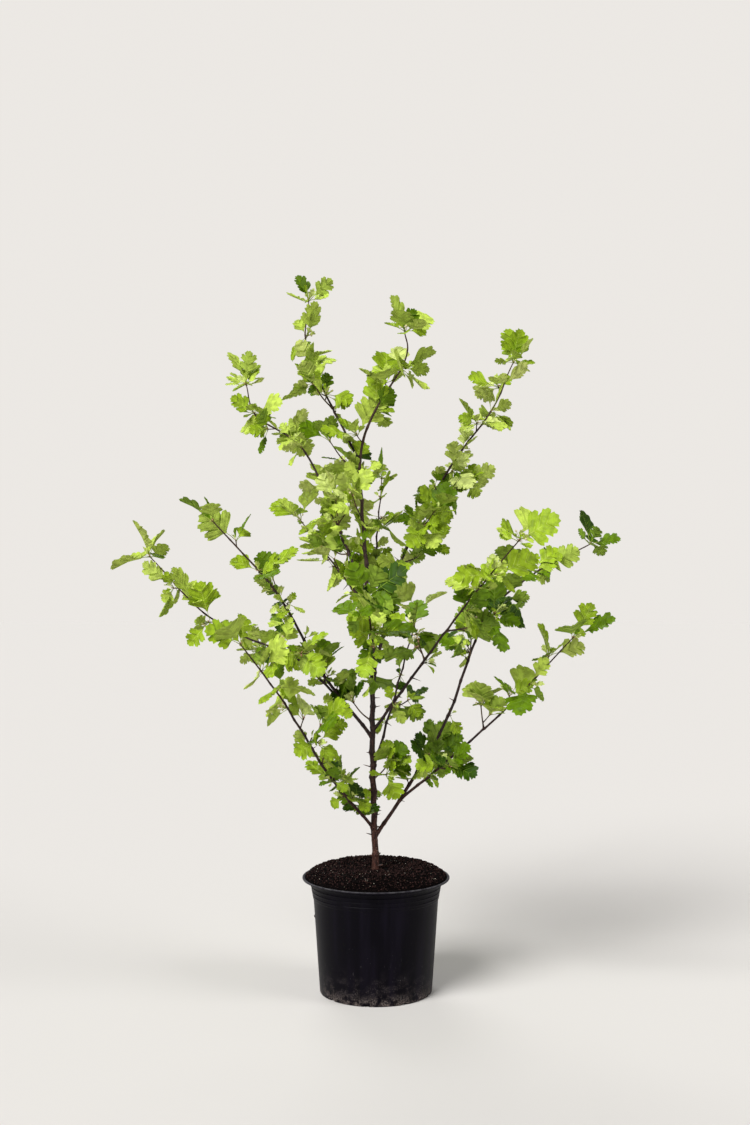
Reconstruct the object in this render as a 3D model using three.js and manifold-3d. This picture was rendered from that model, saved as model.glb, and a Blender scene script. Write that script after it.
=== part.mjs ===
// A young hawthorn in a black nursery pot, about 1.1 m tall.
// Millimetres, +Z up. The origin is the centre of the pot's flat underside, and the front faces -Y.
import * as THREE from 'three';
import { mergeVertices } from 'three/addons/utils/BufferGeometryUtils.js';
import Module from 'manifold-3d';

const wasm = await Module();
wasm.setup();

// Driving sizes of the pot
const rimRadius = 112.5;
const potHeight = 175;
const footRadius = 85.7;
const shoulderRadius = 95.3;
const shoulderHeight = 141;
const potWall = 1.8;
const footRound = 1.6;
const stepRise = 7;
const stepWidth = 1.3;
const stepCount = 3;
const lipRise = 13;
const lipEdge = 2.6;
const lipTurns = [30, 60, 84];
const lipInset = 6;
const lipDip = 2;
const lipCurl = 2.2;
const rimBevel = 0.6;
const ringInset = 0.3;
const ringLow = 0.7;
const potSides = 32;
const notchCount = 9;
const notchWidth = 11;
const notchRise = 3.4;
const notchDepth = 6;

// Driving sizes of the compost
const compostSeat = 184;
const compostCrest = 190.5;
const crestRadius = 72;
const compostEdge = 175;
const compostFlat = 14;
const heapRadius = 91.6;
const heapHeight = 184.6;
const compostLump = 0.9;

// Driving sizes of the wood and the leaves
const gap = 0.3;
const trunkFoot = compostSeat + gap;
const trunkSides = 6;
const boughSides = 5;
const limbStep = 42;
const fewestSteps = 5;
const curveParts = 200;
const onwardParts = 24;
const collarSwell = 0.45;
const collarReach = 0.05;
const taperPower = 0.85;
const twigSides = 3;
const twigRadius = 0.95;
const stemStep = 45;
const stemSwell = 0.3;
const sprayLean = 52;
const sprayLift = 0.35;
const sprayPitch = 22;
const spurLength = 12;
const spurLean = 58;
const spurLift = 0.25;
const spurPlace = [0.35, 0.75];
const spurReach = [0.8, 1.3];
const spurPlay = 18;
const knobRadius = 1.9;
const rosetteSpacing = 54;
const rosetteDepth = 5;
const leafLength = 58;
const leafCount = [2, 3.6];
const leafLean = [40, 82];
const tipLean = [12, 64];
const leafPlay = 14;
const leafSizes = [0.76, 1.14];
const leafArch = [0, 0.16];
const leafCup = [0, 0.25];
const leafUp = 0.4;
const leafOnward = 0.3;
const leafAskew = [-0.7, 0.7];
const leafForward = [-0.9, 0.5];
const leafTurns = [0, 26, -26];
const tipSize = 1.1;
const leafThickness = 1.5;
const leafSwell = 1.04;
const leafClearance = 1.3;
const markStep = 12;
const crownFloor = 200;
const goldenTurn = 137.5;
const spurTurn = 144;

// Each limb: what carries it and at what height, its radius at foot and tip, the share of its length that is
// wood, the places it passes, and its side sprays: the share of its length where each leaves, its turn round
// the limb, where 90 is the upper side and 270 the under side (on the trunk 0 is right), its length and its
// seed
const limbs = [
  { name: 'trunk', foot: [-1, 0, trunkFoot], radius: [5, 0.9], wood: 0.76, seed: 4573,
    way: [[-5.5, 0, 380], [-6, 0, 505], [-16, -4, 660], [-24, -10, 805], [-7, -20, 873], [45, -34, 962],
      [43, -40, 1003]],
    sprays: [[0.1, 165, 68, 6188], [0.165, 5, 36, 2439], [0.27, 200, 44, 2871], [0.42, 295, 48, 2786],
      [0.64, 250, 52, 4473], [0.72, 150, 76, 6476]] },
  { name: 'bough_right_tall', on: 'trunk', at: 478, radius: [2.9, 0.9], wood: 0.58, seed: 7770,
    way: [[45, 60, 671], [120, 110, 808], [190, 150, 905], [227, 170, 985]],
    sprays: [[0.32, 275, 76, 3239], [0.4, 175, 60, 3895], [0.55, 265, 60, 3358]] },
  { name: 'bough_left_tall', on: 'trunk', at: 597, radius: [2.4, 0.9], wood: 0.56, seed: 894,
    way: [[-68, 80, 729], [-118, 125, 838], [-199, 180, 898], [-217, 200, 952]],
    sprays: [[0.19, 275, 50, 4962], [0.28, 65, 54, 145], [0.44, 215, 42, 1345], [0.31, 140, 74, 1503]] },
  { name: 'bough_top', on: 'trunk', at: 808, radius: [1.9, 0.8], wood: 0.42, seed: 8313,
    way: [[-82, 40, 924], [-110, 65, 995], [-107, 90, 1072]],
    sprays: [[0.34, 375, 50, 1077]] },
  { name: 'bough_left', on: 'trunk', at: 386, radius: [2.7, 0.9], wood: 0.6, seed: 2360,
    way: [[-82, -25, 489], [-150, -40, 610], [-243, -60, 716]],
    sprays: [[0.39, 295, 52, 3379], [0.57, 175, 76, 3053]] },
  { name: 'bough_left_long', on: 'bough_left', at: 433, radius: [2, 0.8], wood: 0.55, seed: 3071,
    way: [[-123, 15, 507], [-200, 35, 537], [-272, 50, 578], [-358, 74, 664]],
    sprays: [[0.13, 80, 34, 3118], [0.39, 225, 38, 7947]] },
  { name: 'bough_low_left', on: 'trunk', at: 246, radius: [2.5, 0.9], wood: 0.52, seed: 1357,
    way: [[-71, -65, 341], [-130, -130, 449], [-190, -190, 541]],
    sprays: [[0.2, 160, 34, 9322], [0.49, 370, 48, 2935]] },
  { name: 'bough_right_long', on: 'trunk', at: 234, radius: [2.9, 0.9], wood: 0.6, seed: 7596,
    way: [[37, 8, 290], [110, 25, 413], [168, 40, 561], [240, 52, 632], [338, 60, 684]],
    sprays: [[0.2, 170, 46, 6180], [0.25, 330, 34, 173], [0.54, 150, 34, 1923]] },
  { name: 'bough_low_right', on: 'bough_right_long', at: 291, radius: [2.2, 0.8], wood: 0.56, seed: 1858,
    way: [[103, -30, 351], [191, -70, 437], [287, -110, 546]],
    sprays: [[0.23, 220, 34, 4400], [0.48, 115, 38, 3872]] },
  { name: 'bough_right_front', on: 'trunk', at: 396, radius: [2.4, 0.8], wood: 0.56, seed: 578,
    way: [[53, -60, 483], [127, -145, 592], [196, -230, 685]],
    sprays: [[0.38, 120, 56, 4864], [0.53, 335, 76, 734]] },
  { name: 'bough_left_back', on: 'trunk', at: 580, radius: [2, 0.8], wood: 0.5, seed: 8020,
    way: [[-66, 120, 649], [-128, 230, 727]],
    sprays: [[0.3, 50, 46, 7570]] },
  { name: 'bough_back', on: 'trunk', at: 520, radius: [2.2, 0.8], wood: 0.5, seed: 785,
    way: [[-2, 110, 640], [10, 270, 800]],
    sprays: [[0.31, 60, 34, 5216]] },
  { name: 'bough_back_low', on: 'trunk', at: 335, radius: [2.2, 0.8], wood: 0.5, seed: 320,
    way: [[30, 105, 440], [72, 240, 575]],
    sprays: [[0.38, 225, 34, 834]] },
  { name: 'bough_front', on: 'trunk', at: 430, radius: [2.1, 0.8], wood: 0.5, seed: 5475,
    way: [[-2, -90, 510], [-14, -210, 605]],
    sprays: [] },
];

const finish = {
  pot: new THREE.MeshStandardMaterial({ color: 0x17171b, roughness: 0.5, metalness: 0 }),
  compost: new THREE.MeshStandardMaterial({ color: 0x1c1412, roughness: 0.95, metalness: 0 }),
  bark: new THREE.MeshStandardMaterial({ color: 0x3b2825, roughness: 0.8, metalness: 0 }),
  foliage: new THREE.MeshStandardMaterial({ color: 0x7fae2e, roughness: 0.55, metalness: 0 }),
};

const up = new THREE.Vector3(0, 0, 1);
const group = new THREE.Group();

// The same draws come back each time from the same seed
function drawsFrom(seed) {
  let state = seed;
  return (low = 0, high = 1) => {
    state = (state * 1664525 + 1013904223) % 4294967296;
    return low + (high - low) * (state / 4294967296);
  };
}

function toSolid(geometry) {
  const bare = geometry.index ? geometry.clone() : geometry;
  bare.deleteAttribute('normal');
  bare.deleteAttribute('uv');
  const merged = mergeVertices(bare, 1e-4);
  return new wasm.Manifold(new wasm.Mesh({
    numProp: 3,
    vertProperties: new Float32Array(merged.attributes.position.array),
    triVerts: new Uint32Array(merged.index.array),
  }));
}

// Keeps the outer skin of the largest body, which fills sealed hollows and drops loose scraps
function largestSkin(mesh) {
  const points = mesh.vertProperties;
  const corners = mesh.triVerts;
  const owner = Array.from({ length: points.length / 3 }, (_, i) => i);
  const find = (i) => {
    while (owner[i] !== i) {
      owner[i] = owner[owner[i]];
      i = owner[i];
    }
    return i;
  };
  for (let i = 0; i < corners.length; i += 3) {
    owner[find(corners[i])] = find(corners[i + 1]);
    owner[find(corners[i + 1])] = find(corners[i + 2]);
  }
  const volume = new Map();
  const a = new THREE.Vector3();
  const b = new THREE.Vector3();
  const c = new THREE.Vector3();
  for (let i = 0; i < corners.length; i += 3) {
    a.fromArray(points, corners[i] * 3);
    b.fromArray(points, corners[i + 1] * 3);
    c.fromArray(points, corners[i + 2] * 3);
    const skin = find(corners[i]);
    volume.set(skin, (volume.get(skin) ?? 0) + a.dot(b.cross(c)) / 6);
  }
  const largest = [...volume].sort((one, two) => two[1] - one[1])[0][0];
  const kept = [];
  for (let i = 0; i < corners.length; i += 3) {
    if (find(corners[i]) === largest) kept.push(corners[i], corners[i + 1], corners[i + 2]);
  }
  return kept;
}

// Adds a solid to the scene, placed by the point that it grows or stands from
function addPiece(name, solid, place, material) {
  const mesh = solid.getMesh();
  const geometry = new THREE.BufferGeometry();
  geometry.setAttribute('position', new THREE.BufferAttribute(new Float32Array(mesh.vertProperties), 3));
  geometry.setIndex(largestSkin(mesh));
  const clean = mergeVertices(geometry.toNonIndexed(), 1e-4);
  clean.translate(-place.x, -place.y, -place.z);
  clean.computeVertexNormals();
  const piece = new THREE.Mesh(clean, material.clone());
  piece.name = name;
  piece.position.copy(place);
  group.add(piece);
}

// Wood: a cylinder bent along a curve, with its own radius at each step
function taperedTube(curve, radiusAt, sides, steps) {
  const geometry = new THREE.CylinderGeometry(1, 1, 1, sides, steps);
  const frames = curve.computeFrenetFrames(steps, false);
  const position = geometry.attributes.position;
  const point = new THREE.Vector3();
  for (let i = 0; i < position.count; i += 1) {
    point.fromBufferAttribute(position, i);
    const step = Math.round((0.5 - point.y) * steps);
    const share = step / steps;
    const radius = radiusAt(share);
    const centre = curve.getPointAt(share);
    centre.addScaledVector(frames.normals[step], point.x * radius);
    centre.addScaledVector(frames.binormals[step], point.z * radius);
    position.setXYZ(i, centre.x, centre.y, centre.z);
  }
  return geometry;
}

function outward(geometry) {
  const solid = toSolid(geometry);
  if (solid.volume() > 0) return solid;
  const index = geometry.index.array;
  for (let i = 0; i < index.length; i += 3) {
    [index[i], index[i + 1]] = [index[i + 1], index[i]];
  }
  return toSolid(geometry);
}

function limbRadius(limb, share, extra = 0) {
  const [foot, tip] = limb.radius;
  const collar = collarSwell * foot * Math.max(0, 1 - share / collarReach) ** 2;
  return tip + (foot - tip) * (1 - share) ** taperPower + collar + extra;
}

function limbTube(limb, extra = 0) {
  const length = limb.wholeLength * limb.wood;
  const steps = Math.max(fewestSteps, Math.round(length / limbStep));
  const sides = limb.on ? boughSides : trunkSides;
  const places = limb.curve.getSpacedPoints(curveParts).slice(0, Math.round(curveParts * limb.wood) + 1);
  const part = new THREE.CatmullRomCurve3(places);
  return outward(taperedTube(part, (share) => limbRadius(limb, share * limb.wood, extra), sides, steps));
}

// The share of a limb's length at which it reaches a height
function shareAtHeight(curve, height) {
  let low = 0;
  let high = 1;
  for (let i = 0; i < 30; i += 1) {
    const middle = (low + high) / 2;
    if (curve.getPointAt(middle).z < height) low = middle;
    else high = middle;
  }
  return low;
}

// Pot: a thin shell turned about its axis, with drainage notches through its bottom edge
function potSolid() {
  const outer = [
    [footRadius - footRound, 0],
    [footRadius, footRound],
    [shoulderRadius, shoulderHeight],
  ];
  for (let step = 1; step <= stepCount; step += 1) {
    const height = shoulderHeight + step * stepRise;
    outer.push([shoulderRadius + step * stepWidth - ringInset, height - ringLow * stepRise]);
    outer.push([shoulderRadius + step * stepWidth, height]);
  }
  const neck = shoulderRadius + stepCount * stepWidth;
  const lipFoot = shoulderHeight + stepCount * stepRise;
  const lipReach = rimRadius - neck;
  for (const turn of lipTurns) {
    const angle = THREE.MathUtils.degToRad(turn);
    outer.push([neck + lipReach * (1 - Math.cos(angle)), lipFoot + (lipRise - lipEdge) * Math.sin(angle)]);
  }
  outer.push([rimRadius, potHeight - lipEdge]);
  outer.push([rimRadius - rimBevel, potHeight]);
  const inner = [
    [rimRadius - lipInset, potHeight - lipDip],
    [neck - potWall + lipCurl, lipFoot + lipRise / 2 + lipDip],
    [neck - potWall, lipFoot],
    [shoulderRadius - potWall, shoulderHeight],
    [footRadius - potWall, footRound + potWall],
  ];
  const profile = [[0, 0], ...outer, ...inner, [0, footRound + potWall]];
  const points = profile.map(([radius, height]) => new THREE.Vector2(radius, height));
  const lathe = new THREE.LatheGeometry(points, potSides);
  lathe.rotateX(Math.PI / 2);
  let pot = outward(lathe);
  for (let i = 0; i < notchCount; i += 1) {
    const notch = new THREE.BoxGeometry(notchDepth * 2, notchWidth, notchRise * 2);
    notch.translate(footRadius, 0, 0);
    notch.rotateZ((i + 0.5) * (2 * Math.PI / notchCount));
    pot = pot.subtract(toSolid(notch));
  }
  return pot;
}

// Compost: fills the pot to its rim and is heaped round the stem, with a flat seat under it
function compostSolid() {
  const draw = drawsFrom(5);
  const clear = potWall + gap;
  const neck = shoulderRadius + stepCount * stepWidth;
  const lipFoot = shoulderHeight + stepCount * stepRise;
  const profile = [
    [0, footRound + clear],
    [footRadius - clear, footRound + clear],
    [shoulderRadius - clear, shoulderHeight],
    [neck - clear, lipFoot],
    [neck - clear + lipRise / 4, compostEdge],
    [heapRadius, heapHeight],
    [crestRadius, compostCrest],
    [compostFlat, compostSeat],
    [0, compostSeat],
  ];
  const points = profile.map(([radius, height]) => new THREE.Vector2(radius, height));
  const lathe = new THREE.LatheGeometry(points, potSides);
  lathe.rotateX(Math.PI / 2);
  lathe.deleteAttribute('normal');
  lathe.deleteAttribute('uv');
  const merged = mergeVertices(lathe, 1e-4);
  const position = merged.attributes.position;
  for (let i = 0; i < position.count; i += 1) {
    const radius = Math.hypot(position.getX(i), position.getY(i));
    const lump = draw(-compostLump, compostLump);
    const onHeap = radius > compostFlat + 1 && position.getZ(i) > compostEdge + 1;
    if (onHeap) position.setZ(i, position.getZ(i) + lump);
  }
  return outward(merged);
}

// Leaf: a flat sphere of 9 by 2 facets, its rim pulled out to a wedge foot, two side lobes and a blunt
// middle lobe. Each place on the rim is how far along the leaf and how far to its side it lies, as shares
// of its length.
const leafRim = [[0, 0], [0.28, 0.06], [0.6, 0.41], [0.7, 0.23], [0.98, 0.19], [0.98, -0.19], [0.7, -0.23],
  [0.6, -0.41], [0.28, -0.06]];
const leafHeart = 0.6;

function leafSolid(leaf, thickness = leafThickness) {
  const geometry = new THREE.SphereGeometry(1, leafRim.length, 2);
  const position = geometry.attributes.position;
  const side = new THREE.Vector3().crossVectors(leaf.facing, leaf.heading);
  const ring = leafRim.length + 1;
  for (let i = 0; i < position.count; i += 1) {
    const row = Math.floor(i / ring);
    const [along, across] = row === 1 ? leafRim[(i % ring) % leafRim.length] : [leafHeart, 0];
    const lift = row === 0 ? 1 : row === 2 ? -1 : 0;
    const point = leaf.root.clone();
    point.addScaledVector(leaf.heading, along * leaf.length);
    point.addScaledVector(side, across * leaf.length);
    point.addScaledVector(leaf.facing, (lift * thickness) / 2 + leafBend(leaf, along, across));
    position.setXYZ(i, point.x, point.y, point.z);
  }
  return outward(geometry);
}

// A leaf arches along its length and its sides lift a little
function leafBend(leaf, along, across) {
  return leaf.length * (-leaf.arch * along * along + leaf.cup * Math.abs(across));
}

function twigSolid(from, to, startRadius, endRadius) {
  const curve = new THREE.LineCurve3(from, to);
  const radiusAt = (share) => startRadius + (endRadius - startRadius) * share;
  return outward(taperedTube(curve, radiusAt, twigSides, 1));
}

// Two directions square to an axis, the first as level as it can be
function squareTo(axis) {
  const level = new THREE.Vector3().crossVectors(up, axis);
  if (level.length() < 0.25) level.set(1, 0, 0).addScaledVector(axis, -axis.x);
  level.normalize();
  const other = new THREE.Vector3().crossVectors(axis, level).normalize();
  return [level, other];
}

function leanFrom(axis, lean, turn) {
  const [level, other] = squareTo(axis);
  const leanAngle = THREE.MathUtils.degToRad(lean);
  const turnAngle = THREE.MathUtils.degToRad(turn);
  return axis.clone().multiplyScalar(Math.cos(leanAngle))
    .addScaledVector(level, Math.sin(leanAngle) * Math.cos(turnAngle))
    .addScaledVector(other, Math.sin(leanAngle) * Math.sin(turnAngle))
    .normalize();
}

// A rosette: leaves that turn round the end of a spur, or round the stem itself where they are seated on it,
// each root a little further down than the last
function growRosette(draw, spur, size) {
  const count = Math.round(draw(...leafCount)) + (spur.last ? 1 : 0);
  const start = draw(0, 360);
  const leaves = [];
  for (let i = 0; i < count; i += 1) {
    const root = spur.end.clone().addScaledVector(spur.along, -rosetteDepth * (i / count));
    const lean = draw(...(spur.last ? tipLean : leafLean));
    const turn = start + i * goldenTurn + draw(-leafPlay, leafPlay);
    const heading = leanFrom(spur.heading, lean, turn);
    const facing = up.clone().multiplyScalar(leafUp).addScaledVector(spur.heading, leafOnward);
    facing.x += draw(...leafAskew);
    facing.y += draw(...leafForward);
    facing.addScaledVector(heading, -facing.dot(heading)).normalize();
    const length = leafLength * size * draw(...leafSizes);
    leaves.push({ root, heading, facing, length, arch: draw(...leafArch), cup: draw(...leafCup) });
  }
  return leaves;
}

// A mass of leaves: one stem with rosettes that alternate round it by a steady turn, every other one on a
// short spur of its own, and the last at the stem's tip
function growMass(mass) {
  const draw = drawsFrom(mass.seed);
  const spurs = [];
  let turn = draw(0, 360);
  for (let i = 0; i < mass.rosettes; i += 1) {
    const last = i === mass.rosettes - 1;
    const share = last ? 1 : (i + draw(...spurPlace)) / mass.rosettes;
    const from = mass.stem.getPointAt(share);
    const stemAlong = mass.stem.getTangentAt(share);
    turn += spurTurn + draw(-spurPlay, spurPlay);
    const heading = last ? stemAlong.clone() : leanFrom(stemAlong, spurLean, turn);
    heading.addScaledVector(up, spurLift).normalize();
    const reach = spurLength * draw(...spurReach);
    const seated = last || i % 2 === 1;
    const end = seated ? from : from.clone().addScaledVector(heading, reach);
    const spur = { from, end, heading, seated, last, along: seated ? stemAlong : heading };
    spur.leaves = growRosette(draw, spur, last ? mass.endSize : 1);
    spurs.push(spur);
  }
  return spurs;
}

// Set out every limb
const limbByName = {};
for (const limb of limbs) {
  const places = limb.way.map((place) => new THREE.Vector3(...place));
  let foot = limb.foot ? new THREE.Vector3(...limb.foot) : null;
  if (!foot) {
    const carrier = limbByName[limb.on];
    foot = carrier.curve.getPointAt(shareAtHeight(carrier.curve, limb.at));
  }
  limb.curve = new THREE.CatmullRomCurve3([foot, ...places], false, 'catmullrom', 0.5);
  limb.curve.arcLengthDivisions = 400;
  limb.wholeLength = limb.curve.getLength();
  limbByName[limb.name] = limb;
}

// Stems of all masses: one that carries on from each limb's tip, and side sprays along its wood
const masses = [];
for (const limb of limbs) {
  const start = limb.wood + gap / limb.wholeLength;
  const onward = Array.from({ length: onwardParts + 1 }, (_, i) => (
    limb.curve.getPointAt(start + (1 - start) * (i / onwardParts))));
  const stem = new THREE.CatmullRomCurve3(onward);
  masses.push({
    name: `${limb.name.replace('bough', 'leaves').replace('trunk', 'leaves_leader')}_tip`,
    stem,
    radius: limbRadius(limb, limb.wood),
    seed: limb.seed,
    rosettes: Math.round(stem.getLength() / rosetteSpacing) + 1,
    endSize: tipSize,
  });
  limb.sprays.forEach(([share, turn, length, seed], i) => {
    const from = limb.curve.getPointAt(share);
    const heading = leanFrom(limb.curve.getTangentAt(share), sprayLean, turn);
    const middle = from.clone().addScaledVector(heading, length / 2);
    heading.addScaledVector(up, sprayLift).normalize();
    const end = middle.clone().addScaledVector(heading, length / 2);
    masses.push({
      name: `${limb.name.replace('bough', 'leaves').replace('trunk', 'leaves_trunk')}_${i + 1}`,
      stem: new THREE.CatmullRomCurve3([from, middle, end]),
      limb,
      radius: twigRadius + stemSwell,
      seed,
      rosettes: Math.round(length / sprayPitch),
      endSize: 1,
    });
  });
}

// Each mass keeps to its own space: a leaf's heart lies nearer to its own stem than to any other
for (const mass of masses) {
  mass.marks = mass.stem.getSpacedPoints(Math.ceil(mass.stem.getLength() / markStep));
}

function nearest(mass, point) {
  return Math.min(...mass.marks.map((mark) => mark.distanceTo(point)));
}

function inOwnSpace(mass, point) {
  const own = nearest(mass, point);
  return point.z > crownFloor && masses.every((other) => other === mass || nearest(other, point) > own);
}

// Puts a solid and its box on the limb or mass that it belongs to
function keep(owner, solid) {
  owner.solid = solid;
  owner.box = solid.boundingBox();
}

function clearOf(others, solid) {
  const box = solid.boundingBox();
  return others.every((other) => {
    const apart = [0, 1, 2].some((i) => box.min[i] > other.box.max[i] || box.max[i] < other.box.min[i]);
    return apart || solid.intersect(other.solid).isEmpty();
  });
}

function turnedLeaf(leaf, axis, turn) {
  const heading = leaf.heading.clone().applyAxisAngle(axis, THREE.MathUtils.degToRad(turn));
  const facing = leaf.facing.clone().addScaledVector(heading, -leaf.facing.dot(heading)).normalize();
  return { ...leaf, heading, facing };
}

// Wood: each bough starts a gap clear of the limb that carries it
for (const limb of limbs) {
  let wood = limbTube(limb);
  if (limb.on) wood = wood.subtract(limbTube(limbByName[limb.on], gap));
  addPiece(limb.name, wood, limb.curve.getPointAt(0), finish.bark);
  keep(limb, limbTube(limb, leafClearance));
}

// Stems of the masses, each a gap clear of its limb
for (const mass of masses) {
  const steps = Math.max(2, Math.round(mass.stem.getLength() / stemStep));
  const radiusAt = (share) => (share === 1 ? knobRadius : mass.radius + (twigRadius - mass.radius) * share);
  const stem = outward(taperedTube(mass.stem, radiusAt, twigSides, steps));
  keep(mass, mass.limb ? stem.subtract(limbTube(mass.limb, gap)) : stem);
}

// Spurs, where they touch nothing else
for (const mass of masses) {
  const others = [...limbs, ...masses].filter((other) => other !== mass);
  mass.spurs = growMass(mass).filter((spur) => {
    if (spur.seated) return true;
    const knobEnd = spur.end.clone().addScaledVector(spur.heading, knobRadius);
    const twig = twigSolid(spur.from, knobEnd, twigRadius, knobRadius);
    if (!clearOf(others, twig)) return false;
    keep(mass, mass.solid.add(twig));
    return true;
  });
}

// Leaves, where they keep to their own space and touch nothing else, turned a little where that helps
for (const mass of masses) {
  const others = [...limbs, ...masses].filter((other) => other !== mass);
  for (const spur of mass.spurs) {
    for (const leaf of spur.leaves) {
      const tries = leafTurns.map((turn) => turnedLeaf(leaf, spur.heading, turn));
      const kept = tries.find((candidate) => {
        const { root, length } = candidate;
        const heart = root.clone().addScaledVector(candidate.heading, leafHeart * length);
        const wide = leafSolid({ ...candidate, length: length * leafSwell }, leafThickness + 4 * gap);
        return inOwnSpace(mass, heart) && clearOf(others, wide);
      });
      if (kept) keep(mass, mass.solid.add(leafSolid(kept)));
    }
  }
  addPiece(mass.name, mass.solid, mass.stem.getPointAt(0), finish.foliage);
}

addPiece('pot', potSolid(), new THREE.Vector3(0, 0, 0), finish.pot);
addPiece('compost', compostSolid(), new THREE.Vector3(0, 0, 0), finish.compost);

export default group;
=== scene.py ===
import math

import bpy
import numpy as np
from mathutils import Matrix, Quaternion, Vector
from mathutils.bvhtree import BVHTree


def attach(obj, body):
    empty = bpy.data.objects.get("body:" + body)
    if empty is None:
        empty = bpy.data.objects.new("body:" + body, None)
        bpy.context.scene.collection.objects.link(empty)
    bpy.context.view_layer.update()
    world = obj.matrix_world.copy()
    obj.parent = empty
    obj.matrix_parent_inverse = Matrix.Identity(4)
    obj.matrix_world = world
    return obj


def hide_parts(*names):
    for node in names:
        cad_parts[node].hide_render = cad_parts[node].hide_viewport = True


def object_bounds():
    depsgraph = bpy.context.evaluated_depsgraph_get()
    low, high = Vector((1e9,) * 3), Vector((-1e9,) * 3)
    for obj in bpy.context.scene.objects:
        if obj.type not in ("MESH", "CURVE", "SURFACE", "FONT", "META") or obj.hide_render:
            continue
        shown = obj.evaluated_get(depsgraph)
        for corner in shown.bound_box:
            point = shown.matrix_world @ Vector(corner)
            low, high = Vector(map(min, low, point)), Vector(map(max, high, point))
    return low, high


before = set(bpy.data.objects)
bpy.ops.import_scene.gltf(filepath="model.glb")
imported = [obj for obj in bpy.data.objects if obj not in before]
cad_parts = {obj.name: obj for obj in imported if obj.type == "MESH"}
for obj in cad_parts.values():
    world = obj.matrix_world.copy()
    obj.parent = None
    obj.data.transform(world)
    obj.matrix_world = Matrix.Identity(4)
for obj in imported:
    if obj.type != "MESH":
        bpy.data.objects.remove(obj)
cad_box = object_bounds()


# Nursery pot
# A thin-walled five-litre pot, moulded in black plastic with a turned-out lip, three step rings under it
# and drainage notches round its foot. It has a mould seam, scratches and dried grit near the floor.
mm = 0.001
pot_sides, pot_crease = 160, 38
pot_foot, pot_shoulder, shoulder_height, rim_radius, pot_height = 85.7, 95.3, 141.0, 112.5, 175.0
ring_rise, ring_step, ring_count = 7.0, 1.3, 3
lip_reach, lip_rise, lip_turns = 12.6, 9.6, range(12, 85, 9)
notch_count, notch_width, notch_rise, notch_depth = 9, 11.0, 3.4, 12
nub_turn, nub_out, nub_height, nub_size = 184, 93.3, 115, 1.5


def select_only(*pieces):
    bpy.ops.object.select_all(action='DESELECT')
    for piece in pieces:
        piece.select_set(True)
    bpy.context.view_layer.objects.active = pieces[0]


def apply_modifiers(piece):
    select_only(piece)
    for modifier in list(piece.modifiers):
        bpy.ops.object.modifier_apply(modifier=modifier.name)


def mount(piece, slot, nodes, *finishes):
    """Gives a piece its finishes and its place in the part, over the solids that it stands for."""
    for finish in finishes:
        piece.data.materials.append(finish.material)
    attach(piece, "root")
    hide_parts(*nodes)


def paint(red, green, blue):
    """A colour as it is seen, 0 to 255, in the linear numbers that a finish takes."""
    seen = [value / 255 for value in (red, green, blue)]
    return tuple(v / 12.92 if v <= 0.04045 else ((v + 0.055) / 1.055) ** 2.4 for v in seen) + (1.0,)


class Wire:
    """A number or colour on its way through a finish. Sums and products of wires add their own nodes."""

    def __init__(self, finish, socket):
        self.finish = finish
        self.socket = socket

    def __add__(self, other):
        return self.finish.math("ADD", self, other)

    __radd__ = __add__

    def __sub__(self, other):
        return self.finish.math("SUBTRACT", self, other)

    def __rsub__(self, other):
        return self.finish.math("SUBTRACT", other, self)

    def __mul__(self, other):
        return self.finish.math("MULTIPLY", self, other)

    __rmul__ = __mul__

    def step(self, low, high):
        """0 below low and 1 above high, smooth between them."""
        return self.finish.node("ShaderNodeMapRange", {"interpolation_type": "SMOOTHSTEP"},
                                {"Value": self, "From Min": low, "From Max": high})


class Finish:
    """The finish of one or more pieces, on the Principled shader."""

    def __init__(self, name, colour, roughness, **sockets):
        self.material = bpy.data.materials.new(name)
        self.material.use_nodes = True
        self.tree = self.material.node_tree
        self.skin = self.tree.nodes["Principled BSDF"]
        self.set("Base Color", colour)
        self.set("Roughness", roughness)
        for socket, value in sockets.items():
            self.set(socket.replace("_", " "), value)

    def set(self, socket, value):
        if isinstance(value, Wire):
            self.tree.links.new(value.socket, self.skin.inputs[socket])
        else:
            self.skin.inputs[socket].default_value = value

    def node(self, kind, settings=None, values=None, out=0):
        made = self.tree.nodes.new(kind)
        for name, value in (settings or {}).items():
            setattr(made, name, value)
        for name, value in (values or {}).items():
            if isinstance(value, Wire):
                self.tree.links.new(value.socket, made.inputs[name])
            else:
                made.inputs[name].default_value = value
        return Wire(self, made.outputs[out])

    def math(self, operation, *values):
        return self.node("ShaderNodeMath", {"operation": operation}, dict(enumerate(values)))

    def place(self, stretch=(1, 1, 1)):
        """Places on the piece in metres, stretched along the axes."""
        here = self.node("ShaderNodeTexCoord", out="Object")
        return self.node("ShaderNodeMapping", values={"Vector": here, "Scale": stretch})

    def axis(self, name):
        """How far along one axis a place on the piece is, in metres."""
        return self.node("ShaderNodeSeparateXYZ", values={"Vector": self.place()}, out=name)

    def noise(self, scale, stretch=(1, 1, 1), detail=3.0):
        values = {"Vector": self.place(stretch), "Scale": scale, "Detail": detail}
        return self.node("ShaderNodeTexNoise", values=values)

    def mix(self, factor, one, other):
        values = {0: factor, 6: one, 7: other}
        return self.node("ShaderNodeMix", {"data_type": "RGBA"}, values, out=2)

    def bump(self, height, depth, strength):
        values = {"Height": height, "Distance": depth, "Strength": strength}
        self.set("Normal", self.node("ShaderNodeBump", values=values))


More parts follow.
